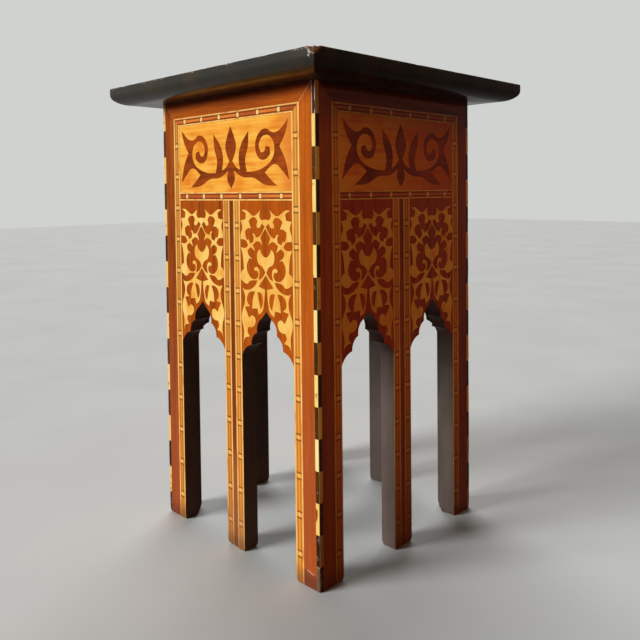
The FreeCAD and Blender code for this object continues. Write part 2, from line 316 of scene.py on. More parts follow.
# The right side's rail and stiles get much darker tones: painted shade, as that side is turned from the
# light.
rail_tones_and_right_shade = {"front": shade(214, 106, 28), "right": shade(34, 8, 3),
              "back": mahogany_red, "left": mahogany_gold}
stile_tones_and_right_shade = {"front": (shade(120, 56, 18), shade(208, 106, 22)),
               "right": (shade(76, 16, 4), shade(174, 98, 20)),
               "back": (shade(120, 56, 18), shade(204, 102, 20)),
               "left": (shade(104, 44, 12), shade(190, 92, 16))}
low_tones = {"front": shade(170, 84, 55), "right": shade(128, 54, 28),
             "back": shade(146, 66, 40), "left": shade(152, 70, 44)}
mitre_highlight_strength = {"front": 0.8, "right": 0.25, "back": 0.6, "left": 0.4}
strip_darks = {"front": 0.75, "right": 0.3, "back": 0.5, "left": 0.4}
strip_bright = shade(190, 118, 76)
strip_dirt = shade(124, 82, 66)
under_top_shadow = shade(40, 14, 5)
mitre_highlight = shade(228, 168, 126)
split_red = shade(134, 68, 44)
split_pale = shade(226, 180, 156)
stile_dirt = shade(84, 52, 42)


def mahogany(moved, grain):
    """The colour and the open pores of the wood, for a grain that runs along x or z."""
    figure = moved.streaks(7.0, 190, 3, grain)
    fibre = moved.streaks(1.5, 46, 5, grain)
    flecks = moved.streaks(0.9, 9.0, 3, grain).rise(0.54, 0.68)
    tone = figure * 1.1 + fibre * 0.9 - 0.5
    colour = tone.ramp((0.2, mahogany_dark), (0.42, mahogany_red),
                       (0.62, mahogany_gold), (0.9, mahogany_pale))
    colour = (flecks * 0.5).mix(colour, mahogany_dark)
    pale_flecks = moved.streaks(1.3, 4.0, 3, grain).rise(0.56, 0.7)
    return (pale_flecks * 0.35).mix(colour, mahogany_pale), fibre


def golden(across, side):
    """1 on the golden half of a side, 0 on the dark one."""
    return (across * golden_end[side]).above(0.0)


def sawn_edge(depth, sunk=0.0):
    """1 on the sawn edge of a veneer, where the paint of the opening has run over it."""
    return (depth - face_depth - sunk).rise(0.15, 0.35)


def polished(shader, moved, colour, fibre):
    """French polish: glossy, a little uneven, duller where hands and feet have worn it."""
    smears = moved.streaks(46, 60, 4)
    waves = moved.streaks(24, 40, 1)
    roughness = 0.34 + smears.rise(0.4, 0.75) * 0.16 + fibre * 0.08
    relief = fibre * 0.25 + waves * 3.0
    coat(shader, colour, roughness, relief, polish_depth, polish=0.08, polish_roughness=0.06, specular=0.02)


for seed, (side, turn) in enumerate(side_turns.items()):
    banded, shader, place, moved = finish("mahogany_" + side, turn, seed + 11)
    across, _, height = place.axes()
    upright, fibre = mahogany(moved, "z")
    level = mahogany(moved, "x")[0]
    beyond = (abs(across) - stile_inner) / stile_width
    over = (height - rail_foot) / (rail_top - rail_foot)
    mitre = over - beyond.most(0.0)
    rail = mitre.above(0.0)
    outside = beyond.above(0.0)
    joint = (1 - (abs(mitre) * stile_width).rise(0.4, 0.9)) * outside * over.above(0.0)
    cloudy = moved.streaks(55, 90, 3)
    gold = golden(across, side)
    colour = rail.mix(upright, level)
    colour = (outside * (1 - rail) * 0.45).mix(colour, gold.mix(*stile_tones_and_right_shade[side]))
    colour = ((1 - height.rise(*stile_fade)) * 0.55).mix(colour, low_tones[side])
    colour = (rail * 0.45).mix(colour, rail_tones_and_right_shade[side])
    on_strip = (1 - abs(across).above(2 * leg_strip)) * (1 - height.above(rail_foot))
    colour = (on_strip * strip_darks[side]).mix(colour, mahogany_dark)
    if side == "front":
        colour = (on_strip * (1 - height.rise(*bright_strip_fade)) * 0.45).mix(colour, strip_bright)
    colour = (on_strip * (1 - height.rise(*leg_fade)) * 0.4).mix(colour, strip_dirt)
    colour = (cloudy.rise(0.5, 0.8) * 0.35).mix(colour, mahogany_red)
    # Painted shadow: the rail and stiles darken just under the overhang of the top.
    colour = (height.rise(*under_top_shadow_fade) * 0.75).mix(colour, under_top_shadow)
    # Painted highlight: a pale line along the mitre, where the joint catches the light.
    colour = (joint * mitre_highlight_strength[side] * (0.3 + gold * 0.7)).mix(colour, mitre_highlight)
    if side == "front":
        right_half = across.above(0.0)
        split = height + (across - stile_inner) * split_slope - split_height + (fibre - 0.5) * 3
        under = (1 - split.rise(-0.8, 0.8)) * outside * right_half
        colour = (under * 0.6).mix(colour, split_red)
        open_part = 1 - abs(across - stile_inner - split_middle).rise(*split_ends)
        bright = (1 - abs(split).rise(0.2, 0.8)) * open_part * right_half
        colour = (bright * 0.8).mix(colour, split_pale)
    foot = height + (cloudy - 0.5) * foot_dirt_edge
    colour = ((1 - foot.rise(*foot_dirt_fade)) * 0.5).mix(colour, stile_dirt)
    polished(shader, moved, colour, fibre)
    leg_piece("mahogany_bands_" + side, "crossband_" + side, banded)

# Boxwood lines
# Narrow strips of pale boxwood on both sides of every banding, glued down with it, scraped level and
# polished over. On three of the sides they darken to brown low down, most of all on the right.
boxwood = shade(250, 198, 108)
boxwood_pale = shade(255, 216, 136)
boxwood_dark = shade(216, 146, 70)
leg_dirt = shade(152, 106, 78)
low_brown = shade(104, 50, 14)
floor_dirt = shade(96, 60, 44)
low_brown_fade = (10, 230)
dirt_fade = (4, 24)
# How far each side darkens to brown towards the feet, most on the right.
low_browning = {"front": 0.0, "right": 0.55, "back": 0.25, "left": 0.3}


def boxwood_line(moved):
    """The colour and the fibre of a line, patchy along its length."""
    patches = moved.streaks(9, 26, 3)
    fibre = moved.streaks(0.6, 12, 4)
    return patches.ramp((0.3, boxwood_dark), (0.46, boxwood), (0.72, boxwood_pale)), fibre


def stained(colour, across, height, side):
    """Dirt, which has dulled the feet and the middle leg higher up than the others, and a brown that
    darkens each side towards the feet.
    """
    on_leg = 1 - abs(across).above(2 * leg_half)
    colour = (on_leg * (1 - height.rise(*leg_fade)) * 0.45).mix(colour, leg_dirt)
    colour = ((1 - height.rise(*low_brown_fade)) * low_browning[side]).mix(colour, low_brown)
    return ((1 - height.rise(*dirt_fade)) * 0.6).mix(colour, floor_dirt)


for seed, (side, turn) in enumerate(side_turns.items()):
    lines, shader, place, moved = finish("boxwood_lines_" + side, turn, seed + 23)
    across, depth, height = place.axes()
    colour, fibre = boxwood_line(moved)
    colour = (fibre.rise(0.5, 0.75) * 0.3).mix(colour, boxwood_dark)
    colour = stained(colour, across, height, side)
    colour = (sawn_edge(depth) * height.above(foot_rise)).mix(colour, sheen_grey_paint)
    polished(shader, moved, colour, fibre)
    leg_piece("boxwood_lines_" + side, "stringing_" + side, lines)

# Bandings
# Ready-made strips of veneer between the boxwood lines, jointed like bamboo and mitred at the frieze's
# upper corners. The upright ones have a pale knot between two dark rings about every 38 mm, wider
# apart towards the feet, and the level ones a pale block every 33.5 mm.
banding_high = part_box("banding_front")[1]
frieze_foot, frieze_top = frieze_low.z * per_metre, frieze_high.z * per_metre
upright_string = (string_high.x - banding_high.x) * per_metre
upright_half = (stile_inner - corner_inner) / 2 - upright_string
upright_centre = (stile_inner + corner_inner) / 2
leg_centre = (leg_half + leg_strip) / 2
level_string = (string_high.z - banding_high.z) * per_metre
level_half = (rail_foot - frieze_top) / 2 - level_string
upper_centre = frieze_top + level_string + level_half
lower_centre = frieze_foot - level_string - level_half
corner_knot, corner_pitch = 457.0, 37.0
leg_knot, leg_pitch = 364.0, 35.8
knot_spread = 2.9e-6
warm_fade = (100, 420)
level_pitch = 33.5
level_start = 0.8
level_shift = {"front": -2.8, "right": 1.4, "back": -1.2, "left": 2.4}
upper_step, side_step = 17, 29
banding_gold = shade(222, 156, 66)
banding_orange = shade(226, 142, 58)
banding_brown = shade(140, 76, 20)
banding_bright = shade(248, 176, 76)
knot_gold = shade(252, 196, 104)
knot_dark = shade(104, 56, 14)
knot_pale = shade(254, 220, 138)
level_red = shade(196, 96, 44)
level_orange = shade(240, 140, 58)
level_brown = shade(140, 66, 24)
level_dark = shade(112, 50, 20)
for seed, (side, turn) in enumerate(side_turns.items()):
    strips, shader, place, moved = finish("banding_" + side, turn, seed + 31)
    across, _, height = place.axes()
    from_line = abs(abs(across) - upright_centre).least(abs(abs(across) - leg_centre))
    on_leg = 1 - abs(across).above(2 * leg_centre)
    drop = corner_knot + on_leg * (leg_knot - corner_knot) - height
    pitch = corner_pitch + on_leg * (leg_pitch - corner_pitch)
    course = drop / pitch - drop * drop * knot_spread
    rough = moved.streaks(1.2, 1.2, 2) - 0.5
    from_knot = abs((course + 0.5).math("FRACT") - 0.5) * pitch + rough * 1.2
    grain = moved.streaks(1.3, 34, 4)
    warm = moved.streaks(9, 60, 3) + (1 - height.rise(*warm_fade)) * 0.25
    upright = warm.rise(0.4, 0.75).mix(banding_gold, banding_orange)
    upright = (grain.rise(0.5, 0.75) * 0.35).mix(upright, banding_brown)
    middle = 1 - from_line.rise(0.4, 1.2)
    upright = (middle * 0.6).mix(upright, banding_bright)
    seam = from_line.rise(1.1, 1.6) * (1 - from_line.rise(2.3, 2.9))
    upright = (seam * 0.4).mix(upright, banding_brown)
    upright = ((1 - golden(across, side)) * 0.25).mix(upright, banding_brown)
    spot = (1 - from_knot.rise(1.6, 2.2)) * (1 - from_line.rise(2.2, 3.0))
    upright = (spot * 0.8).mix(upright, knot_gold)
    ring = from_knot.rise(1.7, 2.3) * (1 - from_knot.rise(3.4, 4.2)) * (1 - from_line.rise(3.4, 3.9))
    upright = (ring * 0.68).mix(upright, knot_dark)
    upper = height.above((upper_centre + lower_centre) / 2)
    from_level = abs(height - upper_centre).least(abs(height - lower_centre))
    shifted = across - upper * level_shift[side] + level_start
    spaced = abs((shifted / level_pitch).math("FRACT") - 0.5) * level_pitch + rough * 0.8
    length = (shifted / level_pitch + 0.5).math("FLOOR") + upper * upper_step + seed * side_step
    level_grain = moved.streaks(0.9, 24, 4, "x")
    core = length.chance().mix(level_red, level_orange)
    level = (from_level + rough * 0.6).rise(1.0, 1.7).mix(core, level_brown)
    level = (level_grain.rise(0.45, 0.7) * 0.4).mix(level, level_dark)
    knot = (1 - spaced.rise(1.7, 2.2)) * (1 - from_level.rise(2.0, 2.5))
    beside = (1 - spaced.rise(2.8, 3.6)) * (1 - knot)
    level = (beside * 0.6).mix(level, level_dark)
    level = knot.mix(level, knot_pale)
    beyond = abs(across) - (upright_centre - upright_half)
    lift = (height - (upper_centre - level_half)) * (upright_half / level_half) * upper
    mitre = lift.most(0.0) - beyond
    lying = (1 - from_level.rise(level_half, level_half + 0.1)) * mitre.above(0.0)
    joint = (1 - abs(mitre).rise(0.2, 0.6)) * beyond.above(0.0) * lift.above(0.0)
    colour = (joint * 0.6).mix(lying.mix(upright, level), knot_dark)
    colour = stained(colour, across, height, side)
    polished(shader, moved, colour, grain)
    leg_piece("bamboo_bands_" + side, "banding_" + side, strips)

# Frieze veneer and its scroll
# One leaf of satinwood veneer with the grain level, and a scroll of padauk let into it.
# The scroll was sawn with the ground in one packet, so a thin line of glue runs round it.
satinwood = shade(252, 180, 66)
satinwood_dark = shade(234, 138, 40)
satinwood_pale = shade(255, 202, 90)
padauk_pale = shade(172, 78, 16)
padauk_dark = shade(120, 48, 8)
# The frieze darkens towards one end of each side; on the right side this darkening is painted shade.
far_ends_and_right_shade = {"front": (70, shade(224, 124, 48)), "right": (-110, shade(196, 80, 18)),
            "back": (60, shade(228, 134, 52)), "left": (-60, shade(216, 112, 36))}
glue_reach = 0.6 / per_metre
fret_thick, fret_ease = 0.3 / per_metre, 0.04 / per_metre
fret_weld, fret_facing = 1e-6, -0.9
fret_steps = 5
sharp_turn = math.radians(58)
wide_stem, wide_leaf = 6.5 / per_metre, 9.5 / per_metre
stem_share = 0.22
fret_hair = 0.01 / per_metre


def fret_outlines(node):
    """The outlines of a flat inlay on the front, each a list of points (across, up) in metres."""
    mesh = bmesh.new()
    mesh.from_mesh(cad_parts[node].data)
    bmesh.ops.remove_doubles(mesh, verts=mesh.verts, dist=fret_weld)
    unseen = [face for face in mesh.faces if face.normal.y > fret_facing]
    bmesh.ops.delete(mesh, geom=unseen, context="FACES_ONLY")
    after = {}
    for face in mesh.faces:
        for loop in face.loops:
            if len(loop.edge.link_faces) == 1:
                after.setdefault(loop.vert, []).append(loop.link_loop_next.vert)
    outlines = []
    while after:
        here = start = next(iter(after))
        outline = []
        while True:
            outline.append((here.co.x, here.co.z))
            ways = after[here]
            onward = ways.pop()
            if not ways:
                del after[here]
            here = onward
            if here == start:
                break
        outlines.append(outline)
    mesh.free()
    return outlines


def slender(outlines):
    """The outlines with the narrow stems sawn finer: the points on both sides of a thin stretch move in."""
    edges = [(Vector(outline[index - 1]), Vector(outline[index]))
             for outline in outlines for index in range(len(outline))]
    finer = []
    for outline in outlines:
        spots = [Vector(spot) for spot in outline]
        moved = []
        for index, here in enumerate(spots):
            onward = spots[(index + 1) % len(spots)] - here
            run = (here - spots[index - 1]).normalized() + onward.normalized()
            inward = Vector((-run.y, run.x)).normalized()
            ray = (here + inward * fret_hair, here + inward * wide_leaf)
            hits = [geometry.intersect_line_line_2d(*ray, *edge) for edge in edges]
            width = min([(hit - here).length for hit in hits if hit], default=wide_leaf)
            share = stem_share * min(1.0, (wide_leaf - width) / (wide_leaf - wide_stem))
            moved.append(here + inward * width * share)
        finer.append(moved)
    return finer


def fret_curve(outlines, name):
    """The outlines drawn as smooth curves with their sharp points kept, filled and given a thickness."""
    curve = bpy.data.curves.new(name, "CURVE")
    curve.dimensions = "2D"
    curve.fill_mode = "BOTH"
    curve.resolution_u = fret_steps
    curve.extrude = fret_thick / 2 - fret_ease
    curve.bevel_depth = fret_ease
    curve.bevel_resolution = 0
    curve.offset = -fret_ease
    for outline in outlines:
        spline = curve.splines.new("BEZIER")
        spline.use_cyclic_u = True
        spline.bezier_points.add(len(outline) - 1)
        for index, point in enumerate(spline.bezier_points):
            before, here = Vector(outline[index - 1]), Vector(outline[index])
            onward = Vector(outline[(index + 1) % len(outline)])
            turn = abs((here - before).angle_signed(onward - here, 0.0))
            point.co = (*here, 0)
            kind = "VECTOR" if turn > sharp_turn else "AUTO"
            point.handle_left_type = point.handle_right_type = kind
    drawn = bpy.data.objects.new(name, curve)
    bpy.context.scene.collection.objects.link(drawn)
    mesh = bpy.data.meshes.new_from_object(drawn.evaluated_get(bpy.context.evaluated_depsgraph_get()))
    bpy.data.objects.remove(drawn)
    mesh.materials.clear()
    return mesh


def fret_piece(name, pattern, turn, wood, node):
    """A copy of the filled outlines, stood up in its place on a side."""
    data = pattern.copy()
    low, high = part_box(node.rsplit("_", 1)[0] + "_front")
    depth = (low.y + high.y) / 2
    data.transform(Matrix.Rotation(math.radians(turn), 4, "Z") @ Matrix.Translation((0, depth, 0))
                   @ Matrix.Rotation(math.radians(90), 4, "X"))
    set_up(name, data, wood, node)


def glue_line(place):
    """1 in the dark line of glue round a piece that is let in."""
    openness = place.node("AmbientOcclusion", {"samples": 8}, {"Distance": glue_reach}, 1)
    return 1 - openness.rise(0.55, 0.95)


scroll_pattern = fret_curve(fret_outlines("frieze_inlay_front"), "scroll_pattern")
for seed, (side, turn) in enumerate(side_turns.items()):
    ground, shader, place, moved = finish("satinwood_" + side, turn, seed + 41)
    bands = moved.streaks(5.5, 95, 3, "x")
    fibre = moved.streaks(1.1, 30, 5, "x")
    clouds = moved.streaks(26, 34, 2, "x")
    tone = bands * 0.9 + clouds * 0.8 + fibre * 0.4 - 0.55
    colour = tone.ramp((0.28, satinwood_dark), (0.5, satinwood), (0.75, satinwood_pale))
    far_start, far_tone = far_ends_and_right_shade[side]
    colour = (place.axes()[0].rise(far_start, corner_inner) * 0.8).mix(colour, far_tone)
    colour = (glue_line(place) * 0.7).mix(colour, padauk_dark)
    polished(shader, moved, colour, fibre)
    dress("frieze_veneer_" + side, ground)
    scroll, shader, _, moved = finish("padauk_" + side, turn, seed + 47)
    fibre = moved.streaks(1.4, 36, 5, "x")
    clouds = moved.streaks(16, 30, 3, "x")
    colour = (clouds * 0.8 + fibre * 0.7 - 0.25).rise(0.25, 0.75).mix(padauk_dark, padauk_pale)
    polished(shader, moved, colour, fibre)
    fret_piece("frieze_scroll_" + side, scroll_pattern, turn, scroll, "frieze_inlay_" + side)

# Arch veneer and its arabesque
# Walnut veneer with the grain upright over both arches, and a fretted arabesque of boxwood in it.
# The fret was sawn by hand with a fine blade, and dark glue fills the cut round every leaf.
walnut = shade(166, 76, 6)
walnut_dark = shade(118, 48, 3)
walnut_pale = shade(188, 92, 12)
# On the right side the ground is made darker and redder: painted shade.
ground_tones_and_right_shade = {"front": shade(210, 104, 16), "right": shade(200, 62, 2),
                "back": shade(210, 104, 16), "left": shade(190, 86, 10)}
ground_sunk = (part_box("arch_veneer_front")[0].y - string_low.y) * per_metre
glue_dark = shade(58, 24, 8)
leaf = shade(255, 206, 104)
leaf_dark = shade(240, 170, 70)
leaf_pale = shade(255, 224, 134)


def walnut_veneer(moved, width, grain):
    """The colour and the fibre of the wood, in bands of a width along the grain."""
    bands = moved.streaks(width, 120, 3, grain)
    fibre = moved.streaks(1.0, 34, 5, grain)
    tone = bands * 1.1 + fibre * 0.6 - 0.35
    return tone.ramp((0.25, walnut_dark), (0.5, walnut), (0.8, walnut_pale)), fibre


leaf_pattern = fret_curve(slender(fret_outlines("arabesque_inlay_front")), "leaf_pattern")
for seed, (side, turn) in enumerate(side_turns.items()):
    ground, shader, place, moved = finish("walnut_" + side, turn, seed + 53)
    across, depth, _ = place.axes()
    colour, fibre = walnut_veneer(moved, 4.5, "z")
    colour = (0.12 + golden(across, side) * 0.22).mix(colour, ground_tones_and_right_shade[side])
    flecks = moved.streaks(1.2, 16, 4).rise(0.52, 0.66)
    colour = (flecks * 0.5).mix(colour, walnut_dark)
    colour = (glue_line(place) * 0.7).mix(colour, glue_dark)
    colour = sawn_edge(depth, ground_sunk).mix(colour, sheen_grey_paint)
    polished(shader, moved, colour, fibre)
    dress("arch_veneer_" + side, ground)
    fret, shader, place, moved = finish("boxwood_leaves_" + side, turn, seed + 59)
    clouds = moved.streaks(14, 22, 3)
    fibre = moved.streaks(0.9, 20, 4)
    tone = clouds * 1.1 + fibre * 0.5 - 0.3
    colour = tone.ramp((0.25, leaf_dark), (0.5, leaf), (0.8, leaf_pale))
    colour = (golden(place.axes()[0], side) * 0.25).mix(colour, leaf_dark)
    polished(shader, moved, colour, fibre)
    fret_piece("arabesque_" + side, leaf_pattern, turn, fret, "arabesque_inlay_" + side)

# Blocks down the corners
# Light boxwood and dark bog oak by turns, glued down both sides of every corner and mitred on it.
# Hands and brooms have rounded the corner, most of all near the feet.
block_length = 32.2
block_width = 5.0
veneer = 1.2
block_seam = 0.16
block_proud = 0.06
block_ease = 0.12
block_sharp = 35
block_foot, block_top = edge_low.z * per_metre, rail_top
block_count = round((block_top - block_foot) / block_length)
block_steps = 8
foot_crowding = 2
arris_least, arris_most = 0.9, 3.6
arris_steps = 4
arris_foot = 95
rough_place, rough_length, rough_depth = (7.3, 2.1), 9, 0.25
knock_place, knock_length, knock_depth = (3.1, 8.4), 21, 2.4
knock_start = 0.12
row_step, end_step, block_side_step = 1.7, 40, 91
block_low_brown_fade = (40, 170)
rub_fade = (10, 80)
chip_across, chip_width = 128.4, 2.6
chip_height, chip_length = 78, 8
inner_glint, outer_glint = 0.4, 4.4
mend_fade = (27, 31)
light_block = ((0.15, shade(248, 208, 106)), (0.5, shade(255, 230, 138)), (0.9, shade(255, 242, 172)))
light_dull = shade(236, 174, 106)
light_worn = shade(196, 124, 66)
dark_block = ((0.15, shade(46, 23, 3)), (0.5, shade(72, 40, 6)), (0.9, shade(98, 58, 16)))
dark_worn = shade(112, 96, 90)
chip_brown = shade(158, 78, 34)
glint_pale = shade(236, 212, 200)
mend_grey = shade(100, 68, 60)


def arris(corner, height):
    """How far the corner is rounded at a height, in millimetres: more in knocks and near the foot."""
    rough = noise.noise(Vector((corner * rough_place[0], rough_place[1], height / rough_length)))
    knock = noise.noise(Vector((corner * knock_place[0], knock_place[1], height / knock_length)))
    knock = max(0.0, knock - knock_start)
    foot = max(0.0, 1 - height / arris_foot)
    rounding = arris_least + rough_depth * rough + knock_depth * knock * (0.5 + foot) + foot * foot
    return min(arris_most, rounding)


def block_ring(corner, height, inset, proud):
    """One level of a block at the right-hand corner of the front: its outline in plan."""
    radius = arris(corner, height)
    out = body_half + proud - inset
    centre = out - radius
    ring = [(body_half - block_width, -out)]
    for step in range(arris_steps + 1):
        turn = math.radians(-90 + 45 * step / arris_steps)
        ring.append((centre + radius * math.cos(turn), -centre + radius * math.sin(turn)))
    ring += [(body_half - veneer, veneer - body_half), (body_half - block_width, veneer - body_half)]
    return ring


def skin(mesh, rings):
    """Faces from each ring of points to the next, and over the first and the last."""
    rings = [[mesh.verts.new(point) for point in ring] for ring in rings]
    for below, over in zip(rings, rings[1:]):
        for first in range(len(below)):
            second = (first + 1) % len(below)
            mesh.faces.new((below[first], below[second], over[second], over[first]))
    mesh.faces.new(rings[0])
    mesh.faces.new(rings[-1])


def smooth_data(mesh, name, sharp):
    """The worked mesh, shaded smooth but for edges that turn by more than sharp degrees."""
    data = mesh_data(mesh, name)
    data.shade_smooth()
    data.set_sharp_from_angle(angle=math.radians(sharp))
    return data


def block_columns(name, turn, is_light):
    """The light or the dark blocks at both corners of a side, some standing a hair proud."""
    mesh = bmesh.new()
    draw = random.Random(name)
    for strip in (1, -1):
        corner = (turn // 90 + (0 if strip > 0 else 3)) % 4
        for row in range(block_count):
            starts_light = strip < 0
            if ((row % 2 == 0) == starts_light) != is_light:
                continue
            lowest = row == block_count - 1
            high = block_top - row * block_length - (block_seam / 2 if row else 0)
            low = block_foot if lowest else block_top - (row + 1) * block_length + block_seam / 2
            proud = draw.uniform(0.0, block_proud)
            crowding = foot_crowding if lowest else 1
            rings = []
            for step in range(block_steps + 1):
                level = low + (high - low) * (step / block_steps) ** crowding
                inset = block_ease if step in (0, block_steps) else 0.0
                ring = block_ring(corner, level, inset, proud)
                rings.append([(strip * x / per_metre, y / per_metre, level / per_metre) for x, y in ring])
            skin(mesh, rings)
    bmesh.ops.recalc_face_normals(mesh, faces=mesh.faces)
    bmesh.ops.rotate(mesh, verts=mesh.verts, matrix=Matrix.Rotation(math.radians(turn), 3, "Z"))
    for vert in mesh.verts:
        vert.co = worn_foot(vert.co * per_metre) / per_metre
    return smooth_data(mesh, name, block_sharp)


for seed, (side, turn) in enumerate(side_turns.items()):
    for is_light, kind, slot in ((True, "light", "boxwood"), (False, "dark", "bog_oak")):
        wood, shader, place, moved = finish("%s_blocks_%s" % (kind, side), turn, seed + 61 + 9 * is_light)
        across, _, height = place.axes()
        right_half = across.above(0.0)
        row = ((block_top - height) / block_length).math("FLOOR")
        each = (row * row_step + right_half * end_step + seed * block_side_step).chance()
        fibre = moved.streaks(0.8, 22, 5)
        clouds = moved.streaks(5, 30, 3)
        tone = each * 0.5 + clouds * 0.7 + fibre * 0.4 - 0.3
        if is_light:
            colour = ((1 - golden(across, side)) * 0.45).mix(tone.ramp(*light_block), light_dull)
            # The light blocks darken to brown towards the feet, as the lines do.
            browned = (1 - height.rise(*block_low_brown_fade)) * low_browning[side] * 1.3
            colour = browned.mix(colour, low_brown)
        else:
            colour = tone.ramp(*dark_block)
        bruise = moved.streaks(4, 7, 4)
        rubbed = (bruise + (1 - height.rise(*rub_fade)) * 0.12).rise(0.62, 0.7)
        colour = (rubbed * 0.8).mix(colour, light_worn if is_light else dark_worn)
        if side == "front":
            chip = (((across - chip_across) / chip_width).math("POWER", 2.0)
                    + ((height - chip_height) / chip_length).math("POWER", 2.0))
            colour = (1 - (chip + (bruise - 0.5) * 2).rise(0.8, 1.1)).mix(colour, chip_brown)
            # Painted highlight: two pale lines along the edges of the top dark block, where its rounded
            # corner catches the light.
            from_stile = across - (body_half - block_width)
            inner_edge = 1 - abs(from_stile - inner_glint).rise(0.2, 0.8)
            outer_edge = 1 - abs(from_stile - outer_glint).rise(0.2, 0.7)
            top_block = height.above(block_top - block_length)
            edge_glint = inner_edge.most(outer_edge) * top_block * bruise.rise(0.36, 0.5)
            colour = (edge_glint * 0.75).mix(colour, glint_pale)
            mended = (1 - (height + bruise * 6).rise(*mend_fade)) * right_half
            colour = (mended * 0.95).mix(colour, mend_grey)
        polished(shader, moved, colour, fibre)
        name = "corner_blocks_%s_%s" % (kind, side)
        set_up(name, block_columns(name, turn, is_light), wood, "edge_blocks_%s_%s" % (kind, side))

# The top
# One ebonised board with an upright edge over an ovolo, polished black and nailed through the cleats.
# The upper edge is scuffed pale in places, and one corner is broken away to the brown wood.
top_low, top_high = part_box("top_board")
top_half = top_high.x * per_metre
top_foot, top_face = top_low.z * per_metre, top_high.z * per_metre
top_sharp = 40
top_margin = 14.0
edge_upright = 7.5
edge_round = 1.6
edge_rows = (5.0, 3.0)
rim_row = 5.0
recess_ease, recess_step = 0.3, 20
under_rows = (60.0, 130.0)
ovolo_quirk = 1.0
ovolo_width = 19.5
ovolo_height = top_face - top_foot - edge_upright
nose_turn = math.radians(50)
nose_cos, nose_sin = math.cos(nose_turn), math.sin(nose_turn)
belly = ((ovolo_width * nose_sin - ovolo_height * (1 - nose_cos))
         / (nose_cos * nose_sin - (1 - nose_sin) * (1 - nose_cos)))
nose = (ovolo_height - belly * (1 - nose_sin)) / nose_sin
belly_steps, nose_steps, round_steps = 12, 10, 5
edge_points, edge_crowding = 96, 11
corner_points = 5
corner_least = 0.4
corner_wear = (1.2, 1.6, 1.4, 1.0)
rim_reach = 12.0
chip_down, chip_in = 3.2, 4.0
chip_patch, chip_place, chip_start, chip_depth = 9, 3.3, 0.25, 1.8
wave_depth, wave_patch, wave_rise = 0.12, 60, 30
broken_along, broken_down = 11.0, 8.0
broken_rough, broken_patch = 0.12, 2.5
broken_fall = 3 ** 0.5 / (2 / broken_along + 1 / broken_down)


def top_profile():
    """The board's section from the middle of its underside round to the recess: half width and height."""
    rows = [(row, top_foot) for row in (*under_rows, top_half - ovolo_width - ovolo_quirk)]
    nose_x, nose_z = top_half - nose, top_face - edge_upright
    belly_x, belly_z = nose_x + (nose - belly) * nose_cos, nose_z - (nose - belly) * nose_sin
    for step in range(belly_steps + 1):
        turn = math.radians(90) - (math.radians(90) - nose_turn) * step / belly_steps
        rows.append((belly_x + belly * math.cos(turn), belly_z - belly * math.sin(turn)))
    for step in range(1, nose_steps + 1):
        turn = nose_turn * (1 - step / nose_steps)
        rows.append((nose_x + nose * math.cos(turn), nose_z - nose * math.sin(turn)))
    rows += [(top_half, top_face - row) for row in edge_rows]
    for step in range(round_steps + 1):
        turn = math.radians(90 * step / round_steps)
        rows.append((top_half - edge_round * (1 - math.cos(turn)),
                     top_face - edge_round * (1 - math.sin(turn))))
    recess, recess_face = top_half - top_margin, top_face - veneer
    rows += [(top_half - rim_row, top_face), (recess + recess_ease, top_face),
             (recess, top_face - recess_ease), (recess, recess_face), (recess - recess_step, recess_face)]
    return rows


def top_ring(half, height):
    """A square of points with rounded corners, chipped and worn near the upper edge."""
    points = []
    near_edge = (max(0.0, 1 - abs(height - top_face) / chip_down)
                 * max(0.0, 1 - abs(half - top_half) / chip_in))
    near_rim = max(0.0, 1 - (top_half - half) / rim_reach)
    spots = [step / edge_points for step in range(edge_points)]
    spots = [spot - math.sin(2 * math.pi * spot) / edge_crowding for spot in spots]
    turns = [math.radians(90 * step / corner_points) for step in range(corner_points)]
    for corner, wear in enumerate(corner_wear):
        rounding = corner_least + wear * near_rim
        flat = half - rounding
        run = [(half, -flat + 2 * flat * spot) for spot in spots]
        run += [(flat + rounding * math.cos(turn), flat + rounding * math.sin(turn)) for turn in turns]
        for x, y in run:
            place = Matrix.Rotation(math.radians(90 * corner), 2) @ Vector((x, y))
            chip = noise.noise(Vector((place.x / chip_patch, place.y / chip_patch, chip_place)))
            chip = max(0.0, chip - chip_start) * chip_depth * near_edge
            wave = noise.noise(Vector((place.x / wave_patch, place.y / wave_patch, height / wave_rise)))
            scale = 1 - (chip + max(0.0, wave_depth * wave) * near_rim) / half
            point = Vector((place.x * scale, place.y * scale, height - 0.5 * chip))
            kept = (2 * top_half - point.x + point.y) / broken_along + (top_face - point.z) / broken_down
            kept += broken_rough * noise.noise(point / broken_patch)
            if kept < 1:
                point += Vector((-1, 1, -1)).normalized() * (1 - kept) * broken_fall
            points.append(point)
    return points


mesh = bmesh.new()
skin(mesh, [[point / per_metre for point in top_ring(*row)] for row in top_profile()])
bmesh.ops.recalc_face_normals(mesh, faces=mesh.faces)
ebony = shade(43, 42, 35)
ebony_brown = shade(60, 49, 34)
rubbed_wood = shade(128, 84, 52)
rubbed_dark = shade(76, 44, 24)
chipped_wood = shade(206, 202, 190)
scratch_across, scratch_height = top_half - 7, top_face - 7
scratch_end = 2 - top_half
ebonised, shader, place, moved = finish("ebonised")
across, along, height = place.axes()
out = abs(across).most(abs(along))
clouds = moved.streaks(30, 30, 4)
specks = moved.streaks(1.7, 1.7, 4)
fibre = moved.streaks(1.2, 1.2, 3)
colour = clouds.rise(0.4, 0.75).mix(ebony, ebony_brown)
to_arris = (top_half - out) * 3 + (top_face - height)
chips = specks.rise(0.57, 0.62) * clouds.rise(0.45, 0.55) * (1 - to_arris.rise(1.0, 3.4)) * 0.8
kept = (2 * top_half - across + along) / broken_along + (top_face - height) / broken_down
rubbed = 1 - (kept + (specks - 0.5) * 0.9).rise(1.05, 1.3)
